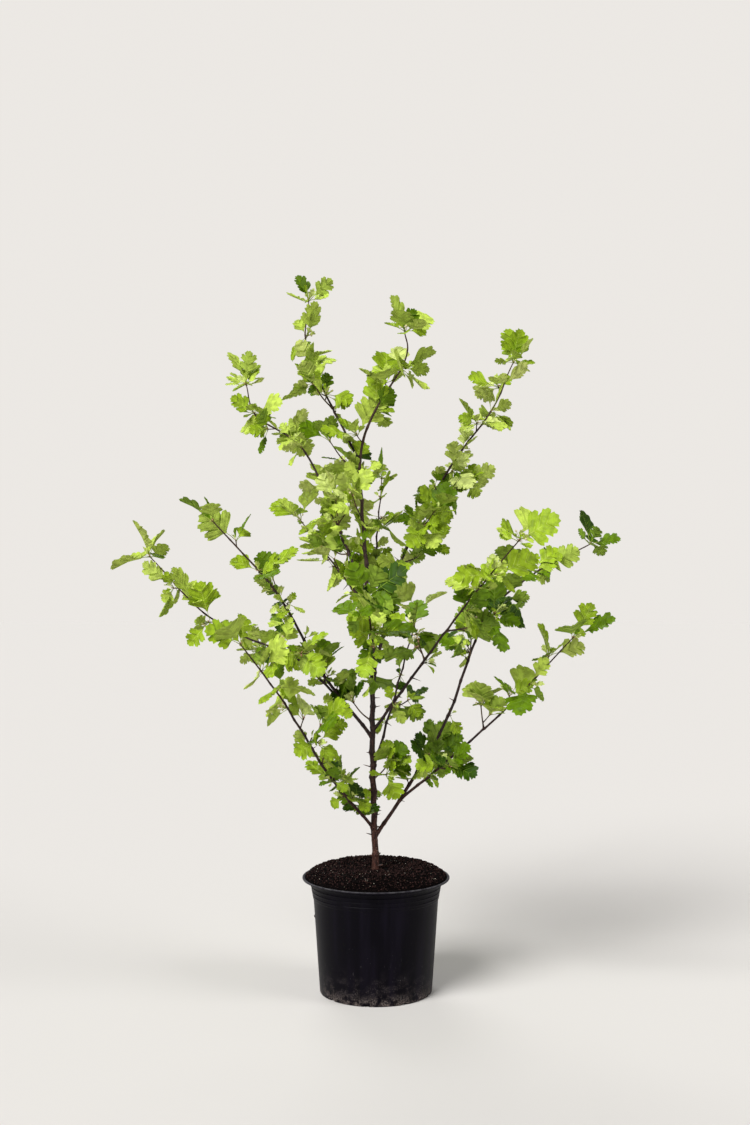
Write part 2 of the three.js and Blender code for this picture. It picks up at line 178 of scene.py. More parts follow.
def profile_solid(name, profile, sides):
    """A closed round solid, drawn from a disc along a profile of radii and heights in millimetres."""
    first_radius, first_height = profile[0]
    bpy.ops.object.select_all(action='DESELECT')
    bpy.ops.mesh.primitive_circle_add(vertices=sides, radius=first_radius * mm, fill_type='NOTHING',
                                      location=(0, 0, first_height * mm))
    solid = bpy.context.object
    solid.name = name
    bpy.ops.object.mode_set(mode='EDIT')
    bpy.ops.mesh.select_all(action='SELECT')
    bpy.ops.mesh.edge_face_add()
    bpy.ops.mesh.duplicate()
    for (radius, height), (next_radius, next_height) in zip(profile, profile[1:]):
        growth = next_radius / radius
        lift = (0, 0, (next_height - height) * mm)
        bpy.ops.mesh.extrude_region_move(TRANSFORM_OT_translate={"value": lift})
        bpy.ops.transform.resize(value=(growth, growth, 1), center_override=(0, 0, next_height * mm))
    bpy.ops.mesh.select_all(action='SELECT')
    bpy.ops.mesh.remove_doubles(threshold=0.00001)
    bpy.ops.mesh.normals_make_consistent(inside=False)
    bpy.ops.mesh.select_all(action='DESELECT')
    bpy.ops.object.mode_set(mode='OBJECT')
    return solid


pot_outside = [(pot_foot - 1.6, 0), (pot_foot - 0.5, 0.5), (pot_foot, 1.6), (86.6, 14), (88.4, 40),
               (91.0, 78), (94.2, 125), (pot_shoulder, shoulder_height)]
# The outline of one step ring, measured out and up from where its tread ends
step_ring = [(-1.05, -5.6), (-0.35, -4.9), (-0.1, -1.6), (0.45, -0.9), (0.5, -0.2), (0, 0.5)]
for ring in range(1, ring_count + 1):
    tread_radius = pot_shoulder + ring * ring_step
    tread_height = shoulder_height + ring * ring_rise
    pot_outside += [(tread_radius + out, tread_height + rise) for out, rise in step_ring]
neck, lip_foot = pot_outside[-1]
for turn in lip_turns:
    angle = math.radians(turn)
    pot_outside.append((neck + lip_reach * (1 - math.cos(angle)), lip_foot + lip_rise * math.sin(angle)))
pot_rim = [(112.1, 172.3), (rim_radius, 173.0), (rim_radius, 174.2), (112.0, 174.8), (111.2, pot_height)]
pot_inside = [(109.6, 174.6), (106.5, 173.0), (103.0, 171.8), (99.9, 170.0), (98.3, 166.6), (97.4, 162),
              (93.5, 141), (83.9, 3.4)]
pot = profile_solid("pot_shell", pot_outside + pot_rim + pot_inside, pot_sides)

# The drainage notches are rounded arches cut through the foot
arch_radius = ((notch_width / 2) ** 2 / notch_rise + notch_rise) / 2
cutters = []
for number in range(notch_count):
    angle = (number + 0.5) * math.tau / notch_count
    bpy.ops.object.select_all(action='DESELECT')
    place = (pot_foot * mm * math.cos(angle), pot_foot * mm * math.sin(angle),
             (notch_rise - arch_radius) * mm)
    bpy.ops.mesh.primitive_cylinder_add(vertices=32, radius=arch_radius * mm, depth=notch_depth * mm,
                                        location=place, rotation=(math.pi / 2, 0, angle + math.pi / 2))
    cutters.append(bpy.context.object)
select_only(*cutters)
bpy.ops.object.join()
cutter = bpy.context.object
notches = pot.modifiers.new("notches", 'BOOLEAN')
notches.object = cutter
notches.operation = 'DIFFERENCE'
notches.solver = 'EXACT'
apply_modifiers(pot)
bpy.data.objects.remove(cutter)
select_only(pot)
bpy.ops.object.shade_smooth_by_angle(angle=math.radians(pot_crease))

# The moulding's gate nub stands on the left side
angle = math.radians(nub_turn)
nub_place = (nub_out * mm * math.cos(angle), nub_out * mm * math.sin(angle), nub_height * mm)
bpy.ops.object.select_all(action='DESELECT')
bpy.ops.mesh.primitive_uv_sphere_add(segments=16, ring_count=8, radius=nub_size * mm, location=nub_place)
nub = bpy.context.object
bpy.ops.object.mode_set(mode='EDIT')
bpy.ops.transform.resize(value=(0.9, 1.2, 1.6), center_override=nub_place)
bpy.ops.object.mode_set(mode='OBJECT')
bpy.ops.object.shade_smooth()
select_only(pot, nub)
bpy.ops.object.join()
bpy.ops.object.transform_apply(location=True, rotation=True, scale=True)

plastic = Finish("black_plastic", paint(9, 8, 13), 0.4, Specular_IOR_Level=0.06)
sideways, back, height = plastic.axis("X"), plastic.axis("Y"), plastic.axis("Z")
streaks = plastic.noise(60, (1, 1, 0.05), 4.0).step(0.4, 0.72)
clouding = plastic.noise(22, detail=5.0)
patches = plastic.noise(85, detail=5.0)
grit = plastic.noise(640)
low_down = 1 - (height + (patches - 0.5) * 0.03).step(0.003, 0.021)
dust = low_down * grit.step(0.44, 0.6) * patches.step(0.36, 0.6)
haze = (1 - height.step(0.0, 0.065)) * patches.step(0.42, 0.75)
grains = plastic.noise(900, detail=2.0).step(0.6, 0.68) * patches.step(0.4, 0.62) * 0.9
foot_dust = plastic.math("MAXIMUM", dust, grains * (1 - height.step(0.004, 0.05)))
spots = plastic.noise(430, detail=1.5).step(0.745, 0.78) * (1 - height.step(0.03, 0.12))
scratches = plastic.noise(520, (1, 1, 0.11), 1.0).step(0.75, 0.78) * (1 - height.step(0.03, 0.08))
rim_breakup = plastic.noise(120, detail=5.0)
# The top of the rim is painted a paler grey, broken up by noise: partly wear and partly a painted highlight
# along the lip
rim_highlight_and_wear = height.step(0.1726, 0.1742) * (0.4 + 0.6 * rim_breakup.step(0.35, 0.6))
body = plastic.mix(streaks * 0.5 + clouding * 0.25, paint(4, 3, 7), paint(21, 17, 29))
hazed = plastic.mix(haze * grit * 0.6, body, paint(70, 64, 66))
dusty = plastic.mix(foot_dust * 0.7, hazed, paint(136, 124, 118))
marked = plastic.mix((spots + scratches * 0.7) * 0.4, dusty, paint(136, 134, 134))
# Painted highlight and wear on the top of the rim
plastic.set("Base Color", plastic.mix(rim_highlight_and_wear * 0.7, marked, paint(84, 82, 86)))
plastic.set("Roughness", 0.36 + 0.1 * clouding + 0.35 * foot_dust + 0.06 * streaks)
off_seam = plastic.math("ABSOLUTE", sideways - 0.003).step(0.0002, 0.0006)
seam = plastic.math("LESS_THAN", back, 0) * (1 - off_seam)
plastic.bump(clouding * 0.25 + grit * foot_dust * 0.6 + seam * 0.3 + rim_breakup * rim_highlight_and_wear * 0.4, 0.0006, 0.7)
mount(pot, "pot_plastic", ["pot"], plastic)


# Compost
# Moist dark potting compost of peat, bark fibre and a little pale grit. It fills the pot to the lip, rises
# a little inside it and dips to a level seat round the stem. Crumbs, chips and grit lie loose on the heap.
seat_height, stem_across = 184.3, -1
heap_sides, crumbled_above = 120, 169.5
heap_skirt = [(96.6, 160.0), (98.0, 166.6), (102.6, 171.9), (107.0, 173.4)]
heap_rings = [(108.8, 174.6), (107.4, 176.0), (104.6, 178.2), (100.5, 181.0), (95.5, 183.8), (89.5, 186.4),
              (82.0, 188.8), (72.0, 190.2), (63.0, 190.2), (54.0, 189.2), (45.0, 188.0), (36.0, 186.8),
              (27.0, 185.8), (19.0, 184.9), (12.0, seat_height), (6.0, seat_height)]
compost_seed, crumb_count, chip_count, grit_count, stem_crumb_count = 29, 4200, 230, 190, 70
crumb_reach, chip_reach, grit_reach = 107, 104, 105
stem_crumb_reach, stem_crumb_height = (6.4, 10), 184.6


def draws_from(seed):
    """The same draws come back each time from the same seed."""
    state = seed

    def draw(low=0.0, high=1.0):
        nonlocal state
        state = (state * 1664525 + 1013904223) % 4294967296
        return low + (high - low) * (state / 4294967296)
    return draw


def roughen(piece, reliefs, direction='NORMAL'):
    """Each relief is its name, its grain in metres and its depth in millimetres."""
    for name, grain, depth in reliefs:
        pattern = bpy.data.textures.new(name, 'CLOUDS')
        pattern.noise_scale = grain
        relief = piece.modifiers.new(name, 'DISPLACE')
        relief.texture = pattern
        relief.texture_coords = 'LOCAL'
        relief.direction = direction
        relief.strength = depth * mm
        relief.mid_level = 0.5
    apply_modifiers(piece)


heap = profile_solid("compost_heap", heap_skirt + heap_rings, heap_sides)
for face in heap.data.polygons:
    face.select = face.center.z > crumbled_above * mm and len(face.vertices) == 4
bpy.ops.object.mode_set(mode='EDIT')
bpy.ops.mesh.subdivide(number_cuts=2, smoothness=0.2)
bpy.ops.object.mode_set(mode='OBJECT')
roughen(heap, (("clods", 0.013, 2.6), ("lumps", 0.0045, 2.2), ("crumb", 0.0017, 1.2)), direction='Z')
select_only(heap)
bpy.ops.object.shade_smooth()
bpy.ops.object.transform_apply(location=True, rotation=True, scale=True)


def solid_arrays(piece):
    """The corners and the triangles of a small pattern piece, which is then taken away."""
    piece.data.calc_loop_triangles()
    corners = np.array([vertex.co for vertex in piece.data.vertices])
    faces = np.array([triangle.vertices for triangle in piece.data.loop_triangles])
    bpy.data.objects.remove(piece)
    return corners, faces


def joined(name, parts, smooth=True):
    """One piece from many corner and face arrays. The corners are millimetres."""
    corners = np.concatenate([part[0] for part in parts]) * mm
    starts = np.cumsum([0] + [len(part[0]) for part in parts[:-1]])
    faces = np.concatenate([part[1] + start for part, start in zip(parts, starts)])
    mesh = bpy.data.meshes.new(name)
    mesh.vertices.add(len(corners))
    mesh.vertices.foreach_set("co", corners.astype(np.float32).ravel())
    mesh.loops.add(faces.size)
    mesh.loops.foreach_set("vertex_index", faces.astype(np.int32).ravel())
    mesh.polygons.add(len(faces))
    mesh.polygons.foreach_set("loop_start", np.arange(0, faces.size, faces.shape[1], dtype=np.int32))
    mesh.update(calc_edges=True)
    mesh.validate()
    mesh.polygons.foreach_set("use_smooth", np.full(len(faces), smooth))
    piece = bpy.data.objects.new(name, mesh)
    bpy.context.scene.collection.objects.link(piece)
    return piece


def turned(draw):
    """A turn to any side, as three square directions."""
    first = Vector((draw(-1, 1), draw(-1, 1), draw(-1, 1))).normalized()
    second = first.cross(Vector((draw(-1, 1), draw(-1, 1), draw(-1, 1)))).normalized()
    return np.array([first, second, first.cross(second)])


draw = draws_from(compost_seed)
bpy.ops.object.select_all(action='DESELECT')
bpy.ops.mesh.primitive_ico_sphere_add(subdivisions=1, radius=1)
crumb, crumb_faces = solid_arrays(bpy.context.object)
bpy.ops.object.select_all(action='DESELECT')
bpy.ops.mesh.primitive_cube_add(size=1)
bpy.ops.object.mode_set(mode='EDIT')
bpy.ops.mesh.bevel(offset=0.12, segments=1, affect='EDGES')
bpy.ops.object.mode_set(mode='OBJECT')
chip, chip_faces = solid_arrays(bpy.context.object)
surface = BVHTree.FromObject(heap, bpy.context.evaluated_depsgraph_get())


def on_heap(reach):
    """A place on the heap in millimetres, evenly spread out to a radius."""
    radius = reach * math.sqrt(draw())
    angle = draw(0, math.tau)
    x, y = radius * math.cos(angle), radius * math.sin(angle)
    hit = surface.ray_cast(Vector((x * mm, y * mm, 0.3)), Vector((0, 0, -1)))[0]
    return np.array([x, y, hit.z / mm])


crumbs, chips, grit_grains = [], [], []
for _ in range(crumb_count):
    size = draw(0.5, 1.1) ** 2 * 1.9
    uneven = crumb * np.array([[draw(0.7, 1.25)] for _ in crumb])
    uneven = uneven * (size, size * draw(0.6, 1), size * draw(0.5, 0.9))
    crumbs.append((uneven @ turned(draw) + on_heap(crumb_reach) + (0, 0, size * 0.25), crumb_faces))
for _ in range(chip_count):
    long = draw(2.5, 8.5)
    flat = chip * (long, draw(0.8, 2.2), draw(0.4, 0.9))
    turn = draw(0, math.tau)
    level = np.array([[math.cos(turn), math.sin(turn), draw(-0.25, 0.25)],
                      [-math.sin(turn), math.cos(turn), 0], [0, 0, 1]])
    chips.append((flat @ level + on_heap(chip_reach) + (0, 0, 0.7), chip_faces))
for _ in range(grit_count):
    size = draw(0.3, 0.8)
    grain = crumb * (size, size * 0.8, size * 0.7) @ turned(draw)
    grit_grains.append((grain + on_heap(grit_reach) + (0, 0, 0.6), crumb_faces))
for _ in range(stem_crumb_count):
    size = draw(0.5, 1.3)
    turn, radius = draw(0, math.tau), draw(*stem_crumb_reach)
    place = np.array([stem_across + radius * math.cos(turn), radius * math.sin(turn),
                      stem_crumb_height + draw(0, 0.9)])
    crumbs.append((crumb * (size, size * 0.8, size * 0.8) @ turned(draw) + place, crumb_faces))


def earth(name, dark, light, roughness):
    made = Finish(name, dark, roughness, Specular_IOR_Level=0.04)
    made.set("Base Color", made.mix(made.noise(420).step(0.44, 0.62), dark, light))
    made.bump(made.noise(1600), 0.0005, 0.8)
    return made


mount(heap, "compost", ["compost"], earth("moist_peat", paint(4, 2, 2), paint(12, 7, 7), 0.9))
mount(joined("compost_crumbs", crumbs), "compost", ["compost"],
      earth("peat_crumbs", paint(4, 2, 2), paint(58, 40, 38), 0.85))
mount(joined("compost_bark_chips", chips, smooth=False), "compost", ["compost"],
      earth("bark_fibre", paint(22, 12, 12), paint(60, 40, 34), 0.8))
mount(joined("compost_pale_grit", grit_grains), "compost", ["compost"],
      earth("pale_grit", paint(150, 140, 126), paint(196, 188, 174), 0.7))


# Trunk and boughs
# Living hawthorn wood with thin dark bark: reddish and flecked at the foot, almost black on the boughs and
# browner towards the shoot tips. Every bough grows from a collar on the limb that carries it.
collar_swell, collar_reach, taper_power, root_flare, foot_depth = 0.45, 0.05, 0.85, 0.2, 4
knot_seed, knot_spacing, knot_past, knot_swell, knot_reach, most_swell = 7, 31, 0.004, 0.24, 2.6, 1.32
wood_step, wood_sides, wood_uneven, young_share, halvings = 2.2, 14, (0.97, 1.03), 0.6, 30
up = Vector((0, 0, 1))

# Each limb: name, carrier and height on it, radius at foot and tip, share that is wood in the solids, seed,
# places it passes, and its side sprays: share, turn round the limb, length and seed
limbs = [
    {"name": "trunk", "foot": (stem_across, 0, seat_height), "radius": (5, 0.9), "wood": 0.76, "seed": 4573,
     "way": [[-5.5, 0, 380], [-6, 0, 505], [-16, -4, 660], [-24, -10, 805], [-7, -20, 873],
              [45, -34, 962], [43, -40, 1003]],
     "sprays": [[0.1, 165, 68, 6188], [0.165, 5, 36, 2439], [0.27, 200, 44, 2871],
                 [0.42, 295, 48, 2786], [0.64, 250, 52, 4473], [0.72, 150, 76, 6476]]},
    {"name": "bough_right_tall", "on": "trunk", "at": 478, "radius": (2.9, 0.9), "wood": 0.58, "seed": 7770,
     "way": [[45, 60, 671], [120, 110, 808], [190, 150, 905], [227, 170, 985]],
     "sprays": [[0.32, 275, 76, 3239], [0.4, 175, 60, 3895], [0.55, 265, 60, 3358]]},
    {"name": "bough_left_tall", "on": "trunk", "at": 597, "radius": (2.4, 0.9), "wood": 0.56, "seed": 894,
     "way": [[-68, 80, 729], [-118, 125, 838], [-199, 180, 898], [-217, 200, 952]],
     "sprays": [[0.19, 275, 50, 4962], [0.28, 65, 54, 145], [0.44, 215, 42, 1345],
                 [0.31, 140, 74, 1503]]},
    {"name": "bough_top", "on": "trunk", "at": 808, "radius": (1.9, 0.8), "wood": 0.42, "seed": 8313,
     "way": [[-82, 40, 924], [-110, 65, 995], [-107, 90, 1072]],
     "sprays": [[0.34, 375, 50, 1077]]},
    {"name": "bough_left", "on": "trunk", "at": 386, "radius": (2.7, 0.9), "wood": 0.6, "seed": 2360,
     "way": [[-82, -25, 489], [-150, -40, 610], [-243, -60, 716]],
     "sprays": [[0.39, 295, 52, 3379], [0.57, 175, 76, 3053]]},
    {"name": "bough_left_long", "on": "bough_left", "at": 433, "radius": (2, 0.8),
     "wood": 0.55, "seed": 3071,
     "way": [[-123, 15, 507], [-200, 35, 537], [-272, 50, 578], [-358, 74, 664]],
     "sprays": [[0.13, 80, 34, 3118], [0.39, 225, 38, 7947]]},
    {"name": "bough_low_left", "on": "trunk", "at": 246, "radius": (2.5, 0.9), "wood": 0.52, "seed": 1357,
     "way": [[-71, -65, 341], [-130, -130, 449], [-190, -190, 541]],
     "sprays": [[0.2, 160, 34, 9322], [0.49, 370, 48, 2935]]},
    {"name": "bough_right_long", "on": "trunk", "at": 234, "radius": (2.9, 0.9), "wood": 0.6, "seed": 7596,
     "way": [[37, 8, 290], [110, 25, 413], [168, 40, 561], [240, 52, 632], [338, 60, 684]],
     "sprays": [[0.2, 170, 46, 6180], [0.25, 330, 34, 173], [0.54, 150, 34, 1923]]},
    {"name": "bough_low_right", "on": "bough_right_long", "at": 291, "radius": (2.2, 0.8),
     "wood": 0.56, "seed": 1858,
     "way": [[103, -30, 351], [191, -70, 437], [287, -110, 546]],
     "sprays": [[0.23, 220, 34, 4400], [0.48, 115, 38, 3872]]},
    {"name": "bough_right_front", "on": "trunk", "at": 396, "radius": (2.4, 0.8), "wood": 0.56, "seed": 578,
     "way": [[53, -60, 483], [127, -145, 592], [196, -230, 685]],
     "sprays": [[0.38, 120, 56, 4864], [0.53, 335, 76, 734]]},
    {"name": "bough_left_back", "on": "trunk", "at": 580, "radius": (2, 0.8), "wood": 0.5, "seed": 8020,
     "way": [[-66, 120, 649], [-128, 230, 727]],
     "sprays": [[0.3, 50, 46, 7570]]},
    {"name": "bough_back", "on": "trunk", "at": 520, "radius": (2.2, 0.8), "wood": 0.5, "seed": 785,
     "way": [[-2, 110, 640], [10, 270, 800]],
     "sprays": [[0.31, 60, 34, 5216]]},
    {"name": "bough_back_low", "on": "trunk", "at": 335, "radius": (2.2, 0.8), "wood": 0.5, "seed": 320,
     "way": [[30, 105, 440], [72, 240, 575]],
     "sprays": [[0.38, 225, 34, 834]]},
    {"name": "bough_front", "on": "trunk", "at": 430, "radius": (2.1, 0.8), "wood": 0.5, "seed": 5475,
     "way": [[-2, -90, 510], [-14, -210, 605]],
     "sprays": []},
]


class Route:
    """A way through the air by its places, measured along its length."""
    near = 0.004

    def __init__(self, places):
        self.places = np.array(places)
        steps = np.linalg.norm(np.diff(self.places, axis=0), axis=1)
        self.run = np.concatenate([[0], np.cumsum(steps)])
        self.length = self.run[-1]

    def at(self, share):
        here = share * self.length
        return Vector([np.interp(here, self.run, self.places[:, axis]) for axis in range(3)])

    def along(self, share):
        return (self.at(min(1, share + self.near)) - self.at(max(0, share - self.near))).normalized()

    def spaced(self, count):
        return np.array([self.at(i / count) for i in range(count + 1)])


def smooth_route(places, centripetal=False, parts=120):
    """A smooth curve through some places."""
    points = [Vector(place) for place in places]
    points = [2 * points[0] - points[1]] + points + [2 * points[-1] - points[-2]]
    made = []
    for before, start, end, after in zip(points, points[1:], points[2:], points[3:]):
        if centripetal:
            spans = ((before, start), (start, end), (end, after))
            one, two, three = [math.sqrt((b - a).length) for a, b in spans]
            leave = ((start - before) / one - (end - before) / (one + two) + (end - start) / two) * two
            arrive = ((end - start) / two - (after - start) / (two + three) + (after - end) / three) * two
        else:
            leave, arrive = (end - before) / 2, (after - start) / 2
        for i in range(parts):
            t = i / parts
            made.append(start + leave * t + (3 * (end - start) - 2 * leave - arrive) * t ** 2
                        + (2 * (start - end) + leave + arrive) * t ** 3)
    return Route(made + [points[-2]])


def square_to(axis):
    """Two directions square to an axis, the first as level as it can be."""
    level = up.cross(axis)
    if level.length < 0.25:
        level = Vector((1, 0, 0)) + axis * -axis.x
    level.normalize()
    return level, axis.cross(level).normalized()


def limb_radius(limb, share):
    foot, tip = limb["radius"]
    swell = collar_swell if "on" in limb else root_flare
    collar = swell * foot * max(0, 1 - share / collar_reach) ** 2
    return tip + (foot - tip) * (1 - share) ** taper_power + collar


by_name = {}
for limb in limbs:
    if "on" in limb:
        carrier = by_name[limb["on"]]["route"]
        low, high = 0.0, 1.0
        for _ in range(halvings):
            middle = (low + high) / 2
            low, high = (middle, high) if carrier.at(middle).z < limb["at"] else (low, middle)
        foot = carrier.at(low)
    else:
        foot = Vector(limb["foot"])
    limb["route"] = smooth_route([foot] + limb["way"])
    by_name[limb["name"]] = limb


def rods(name, ways, sides):
    """One piece of bent tapering rods. Each way is its places and radii in millimetres."""
    bpy.ops.object.select_all(action='DESELECT')
    bpy.ops.curve.primitive_bezier_curve_add()
    rod = bpy.context.object
    rod.name = name
    rod.data.splines.clear()
    rod.data.dimensions = '3D'
    rod.data.bevel_depth = mm
    rod.data.bevel_resolution = (sides - 4) // 2
    rod.data.use_fill_caps = True
    for places, radii in ways:
        spline = rod.data.splines.new('POLY')
        spline.points.add(len(places) - 1)
        for point, place, radius in zip(spline.points, places, radii):
            point.co = (*(Vector(place) * mm), 1)
            point.radius = radius
    bpy.ops.object.convert(target='MESH')
    bpy.ops.object.mode_set(mode='EDIT')
    bpy.ops.mesh.select_all(action='SELECT')
    bpy.ops.mesh.remove_doubles(threshold=0.000002)
    bpy.ops.mesh.normals_make_consistent(inside=False)
    bpy.ops.object.mode_set(mode='OBJECT')
    bpy.ops.object.shade_smooth()
    return rod


bark = Finish("hawthorn_bark", paint(46, 31, 30), 0.62, Specular_IOR_Level=0.28)
fissures = bark.noise(520, (1, 1, 0.16), 4.0)
mottle = bark.noise(70, detail=5.0)
foot_red = 1 - bark.axis("Z").step(0.2, 0.42)
flecks = bark.noise(430, (1, 1, 1.7), 2.0).step(0.61, 0.68)
dark_bark = bark.mix(fissures.step(0.35, 0.7), paint(20, 12, 14), paint(62, 41, 40))
red_bark = bark.mix(fissures.step(0.3, 0.7), paint(24, 11, 10), paint(92, 53, 42))
wood_colour = bark.mix(foot_red * 0.8, dark_bark, red_bark)
young = bark.node("ShaderNodeAttribute", {"attribute_name": "young"}, out="Fac")
aged = bark.mix(young * 0.7, wood_colour, paint(74, 52, 38))
bark.set("Base Color", bark.mix(flecks * (0.1 + 0.55 * foot_red), aged, paint(150, 118, 100)))
bark.set("Roughness", 0.5 + 0.25 * mottle)
bark.bump(fissures * 0.7 + mottle * 0.2 + flecks * 0.3, 0.0006, 0.8)


def knotted(limb):
    """The places and radii along a limb, swollen and bent a little at its knots, which the limb keeps."""
    route = limb["route"]
    draw = draws_from(limb["seed"] + knot_seed)
    knots = [(spray[0] + knot_past) * route.length for spray in limb["sprays"]]
    knots += [i * knot_spacing + draw(-8, 8) for i in range(1, int(route.length / knot_spacing))]
    limb["knots"] = knots
    bends = [[0, 0, 0]]
    for number, knot in enumerate(sorted(knots)):
        level, other = square_to(route.along(min(1, knot / route.length)))
        bends.append((level * (-1) ** number + other * draw(-0.6, 0.6)) * draw(0.5, 1.3))
    bends = np.array([*bends, [0, 0, 0]])
    bend_at = [0, *sorted(knots), route.length]
    count = int(route.length / wood_step)
    places, radii = [], []
    if limb["name"] == "trunk":
        places.append(route.at(0) - up * foot_depth)
        radii.append(limb_radius(limb, 0))
    for i in range(count + 1):
        share = i / count
        run = share * route.length
        swell = 1 + sum(knot_swell * math.exp(-((run - knot) / knot_reach) ** 2) for knot in knots)
        bend = Vector([np.interp(run, bend_at, bends[:, axis]) for axis in range(3)])
        places.append(route.at(share) + bend)
        radii.append(limb_radius(limb, share) * min(swell, most_swell) * draw(*wood_uneven))
    return places, radii


for limb in limbs:
    wood = rods("wood_" + limb["name"], [knotted(limb)], wood_sides)
    bulk = 0.35 + limb["radius"][0] / 3
    roughen(wood, (("ridges", 0.0042, 0.2 * bulk), ("skin", 0.0016, 0.09 * bulk)))
    tip = limb["route"].at(1) * mm
    reach = limb["route"].length * mm * young_share
    nearness = [max(0.0, 1 - (vertex.co - tip).length / reach) for vertex in wood.data.vertices]
    wood.data.attributes.new("young", 'FLOAT', 'POINT').data.foreach_set("value", nearness)
    mount(wood, "bark", [limb["name"]], bark)


# Foliage plan
# The leaves grow as on the living shoot: each limb carries on past its wood, side sprays leave it, short
# spurs alternate round every stem, and each spur ends in a rosette of lobed leaves round a few new ones.
gap = 0.3
spray_lean, spray_lift, spray_pitch = 52, 0.35, 22
spur_length, spur_lean, spur_lift, spur_turn, spur_play = 12, 58, 0.25, 144, 18
spur_place, spur_reach = (0.35, 0.75), (0.8, 1.3)
rosette_spacing, rosette_depth, golden_turn = 54, 5, 137.5
leaf_length, leaf_count, leaf_lean, tip_lean, leaf_play = 58, (2, 3.6), (40, 82), (12, 64), 14
leaf_sizes, leaf_heart = (0.76, 1.14), 0.6
leaf_up, leaf_onward, leaf_askew, leaf_forward = 0.4, 0.3, (-0.7, 0.7), (-0.9, 0.5)
leaf_turns, tip_size, tip_parts = (0, 26, -26), 1.1, 24
mark_step, wood_marks, clearance, crown_floor = 12, 90, 1.3, 200


def lean_from(axis, lean, turn):
    """A direction that leans away from an axis, turned round it, both in degrees."""
    level, other = square_to(axis)
    lean, turn = math.radians(lean), math.radians(turn)
    aside = level * math.cos(turn) + other * math.sin(turn)
    return (axis * math.cos(lean) + aside * math.sin(lean)).normalized()


def whole(value):
    """The nearest whole number, a half rounded up, as the solids round."""
    return math.floor(value + 0.5)


def squared(facing, heading):
    """The facing, made square to the heading."""
    return (facing - heading * facing.dot(heading)).normalized()


def grow_rosette(draw, spur, size):
    """The main leaves at the end of one spur, as the solids have them."""
    count = whole(draw(*leaf_count)) + (1 if spur["last"] else 0)
    start = draw(0, 360)
    grown = []
    for i in range(count):
        root = spur["end"] + spur["along"] * (-rosette_depth * (i / count))
        lean = draw(*(tip_lean if spur["last"] else leaf_lean))
        turn = start + i * golden_turn + draw(-leaf_play, leaf_play)
        heading = lean_from(spur["heading"], lean, turn)
        facing = up * leaf_up + spur["heading"] * leaf_onward
        facing.x += draw(*leaf_askew)
        facing.y += draw(*leaf_forward)
        length = leaf_length * size * draw(*leaf_sizes)
        grown.append({"root": root, "heading": heading, "facing": squared(facing, heading),
                      "length": length})
        # The solids draw an arch and a cup for each leaf here, and these draws stay in step with them
        draw()
        draw()
    return grown


def grow_mass(mass):
    """The spurs along one stem with their main leaves, as the solids have them."""
    draw = draws_from(mass["seed"])
    spurs = []
    turn = draw(0, 360)
    for i in range(mass["rosettes"]):
        last = i == mass["rosettes"] - 1
        share = 1 if last else (i + draw(*spur_place)) / mass["rosettes"]
        start = mass["stem"].at(share)
        stem_along = mass["stem"].along(share)
        turn += spur_turn + draw(-spur_play, spur_play)
        heading = stem_along.copy() if last else lean_from(stem_along, spur_lean, turn)
        heading = (heading + up * spur_lift).normalized()
        reach = spur_length * draw(*spur_reach)
        seated = last or i % 2 == 1
        end = start if seated else start + heading * reach
        spur = {"from": start, "end": end, "heading": heading, "seated": seated, "last": last,
                "along": stem_along if seated else heading}
        spur["leaves"] = grow_rosette(draw, spur, mass["end_size"] if last else 1)
        spurs.append(spur)
    return spurs


masses = []
for limb in limbs:
    route = limb["route"]
    start = limb["wood"] + gap / route.length
    stem = Route([route.at(start + (1 - start) * i / tip_parts) for i in range(tip_parts + 1)])
    node = limb["name"].replace("bough", "leaves").replace("trunk", "leaves_leader") + "_tip"
    masses.append({"node": node, "stem": stem, "seed": limb["seed"], "end_size": tip_size, "limb": None,
                   "rosettes": whole(stem.length / rosette_spacing) + 1})
    for number, (share, turn, length, seed) in enumerate(limb["sprays"]):
        begin = route.at(share)
        heading = lean_from(route.along(share), spray_lean, turn)
        middle = begin + heading * (length / 2)
        heading = (heading + up * spray_lift).normalized()
        stem = smooth_route([begin, middle, middle + heading * (length / 2)], centripetal=True)
        node = limb["name"].replace("bough", "leaves").replace("trunk", "leaves_trunk") + f"_{number + 1}"
        masses.append({"node": node, "stem": stem, "seed": seed, "end_size": 1, "limb": limb,
                       "rosettes": whole(length / spray_pitch)})
mass_nodes = [mass["node"] for mass in masses]
for mass in masses:
    mass["marks"] = mass["stem"].spaced(math.ceil(mass["stem"].length / mark_step))
limb_marks = np.array([(*limb["route"].at(share), limb_radius(limb, share))
                       for limb in limbs for share in np.linspace(0, limb["wood"], wood_marks)])


def clear_of_limbs(points):
    apart = np.linalg.norm(np.array(points)[:, None, :] - limb_marks[None, :, :3], axis=2)
    return bool((apart > limb_marks[:, 3] + clearance).all())


def in_own_space(mass, point):
    place = np.array(point)
    own = np.linalg.norm(mass["marks"] - place, axis=1).min()
    return point.z > crown_floor and all(
        other is mass or np.linalg.norm(other["marks"] - place, axis=1).min() > own for other in masses)


def leaf_marks(leaf):
    """Places spread over a leaf, its heart first, along it and across it as shares of its length."""
    side = leaf["heading"].cross(leaf["facing"])
    places = [(leaf_heart, 0), (0.28, 0), (0.6, 0.41), (0.7, 0.23), (0.98, 0.15), (0.98, -0.15),
              (0.7, -0.23), (0.6, -0.41), (0.45, 0.2), (0.45, -0.2), (0.85, 0)]
    return [leaf["root"] + leaf["heading"] * (along * leaf["length"]) + side * (across * leaf["length"])
            for along, across in places]


def turned_clear(leaf, axis, mass):
    """The leaf, turned a little where that helps it clear the wood, or nothing."""
    for turn in leaf_turns:
        heading = leaf["heading"].copy()
        heading.rotate(Quaternion(axis, math.radians(turn)))
        tried = {**leaf, "heading": heading, "facing": squared(leaf["facing"], heading)}
        marks = leaf_marks(tried)
        if (mass is None or in_own_space(mass, marks[0])) and clear_of_limbs(marks):
            return tried
    return None


